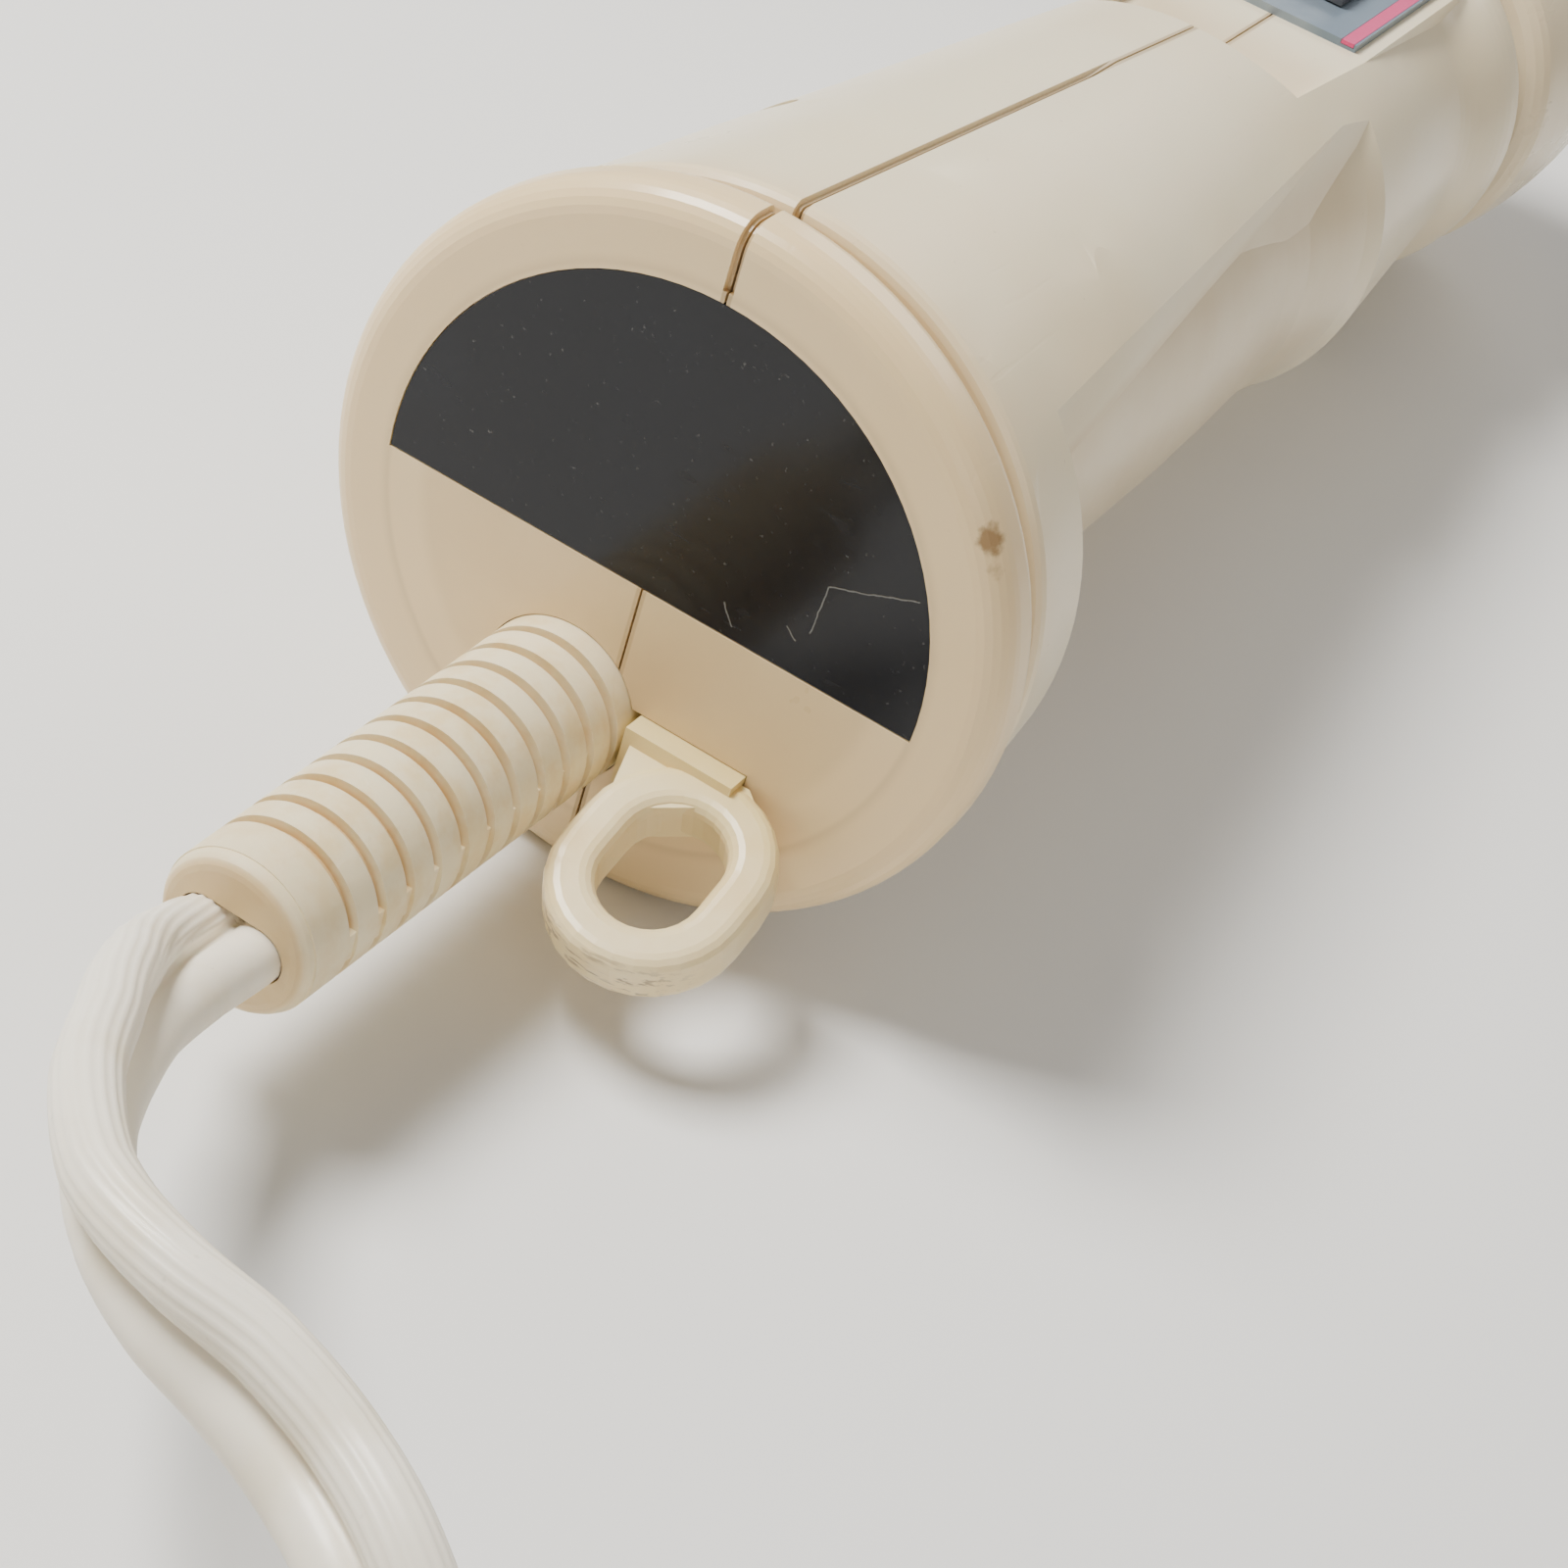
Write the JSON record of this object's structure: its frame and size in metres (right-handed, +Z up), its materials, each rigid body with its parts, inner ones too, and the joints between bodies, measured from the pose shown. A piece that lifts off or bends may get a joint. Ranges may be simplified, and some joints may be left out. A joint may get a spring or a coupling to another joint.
{
  "type": "handheld wand massager",
  "caption": "Cream plastic wand massager with a round head on a flexible neck, a finger grip, a slide switch, a ribbed cord boot, a hang loop and a flat mains cord.",
  "frame": {"origin": "on the surface the wand lies on, under the middle of its length", "axes": "+Y along the wand from the cord end to the head, +Z up through the switch"},
  "size_m": [0.0782, 0.447, 0.06],
  "materials": {
    "housing": "aged cream plastic, slightly glossy, lightly scuffed",
    "head": "aged cream plastic",
    "boot": "soft cream vinyl",
    "loop": "yellowed soft plastic",
    "plate_dark": "glossy blue-black, left bare",
    "plate_blue": "grey-blue lacquer",
    "stripe": "pink line",
    "button": "dark grey, ribbed",
    "inner_plastic": "moulded",
    "contact": "plain",
    "phenolic": "dark moulded",
    "film": "dipped",
    "board": "board",
    "wire": "insulated wire",
    "cord": "white vinyl, one core ribbed",
    "cord_coil": "white vinyl, wound",
    "plug": "white vinyl",
    "steel": "plain",
    "ferrite": "matt",
    "copper": "enamelled wire",
    "rubber": "matt black"
  },
  "bodies": {
    "housing": {"left_shell": "housing", "right_shell": "housing", "rating_plate": "plate_dark", "switch_plate": "plate_blue", "plate_stripes": "stripe", "switch_body": "phenolic", "switch_terminals": "contact", "cord_boot": "boot", "hang_loop": "loop", "cord_inner": "cord", "cord_clamp": "inner_plastic", "clamp_screws": "steel", "housing_screws": "steel", "rectifier_board": "board", "diodes": "phenolic", "capacitor": "film", "lead_wires": "wire", "motor_can": "steel", "motor_end_cap": "phenolic", "motor_magnets": "ferrite", "motor_bushes": "contact", "brushes": "ferrite", "rear_mount": "rubber", "front_mount": "rubber", "neck_gasket": "rubber", "cord_tube": "cord", "cord_coil": "cord_coil", "cord_tail": "cord", "plug_body": "plug", "plug_blades": "contact"},
    "switch_slider": {"thumb_button": "button", "slide_carrier": "inner_plastic", "slide_contact": "contact"},
    "rotor": {"rotor_core": "steel", "rotor_winding": "copper", "commutator": "copper", "motor_shaft": "steel", "flex_spring": "steel"},
    "head": {"head_base": "head", "head_cap": "head", "bearing_frame": "inner_plastic", "head_bushes": "contact"},
    "head_spindle": {"head_shaft": "steel", "eccentric_weight": "contact", "weight_screw": "steel"}
  },
  "joints": [
    {"name": "switch_slide", "type": "slide", "parent": "housing", "child": "switch_slider", "axis": [0, 1, 0], "range_m": [0, 0.007]},
    {"name": "rotor_spin", "type": "hinge", "parent": "housing", "child": "rotor", "pos_m": [0, -0.003, 0.03], "axis": [0, 1, 0], "continuous": true},
    {"name": "head_flex", "type": "hinge", "parent": "housing", "child": "head", "pos_m": [0, 0.0718, 0.03], "axis": [1, 0, 0], "range_deg": [-4, 4], "stiffness_Nm_per_rad": 8, "deforming": ["neck_gasket", "flex_spring"]},
    {"name": "spindle_spin", "type": "hinge", "parent": "head", "child": "head_spindle", "pos_m": [0, 0.09, 0.03], "axis": [0, 1, 0], "continuous": true}
  ],
  "couplings": [
    {"joint": "spindle_spin", "follows": "rotor_spin", "ratio": 1}
  ]
}
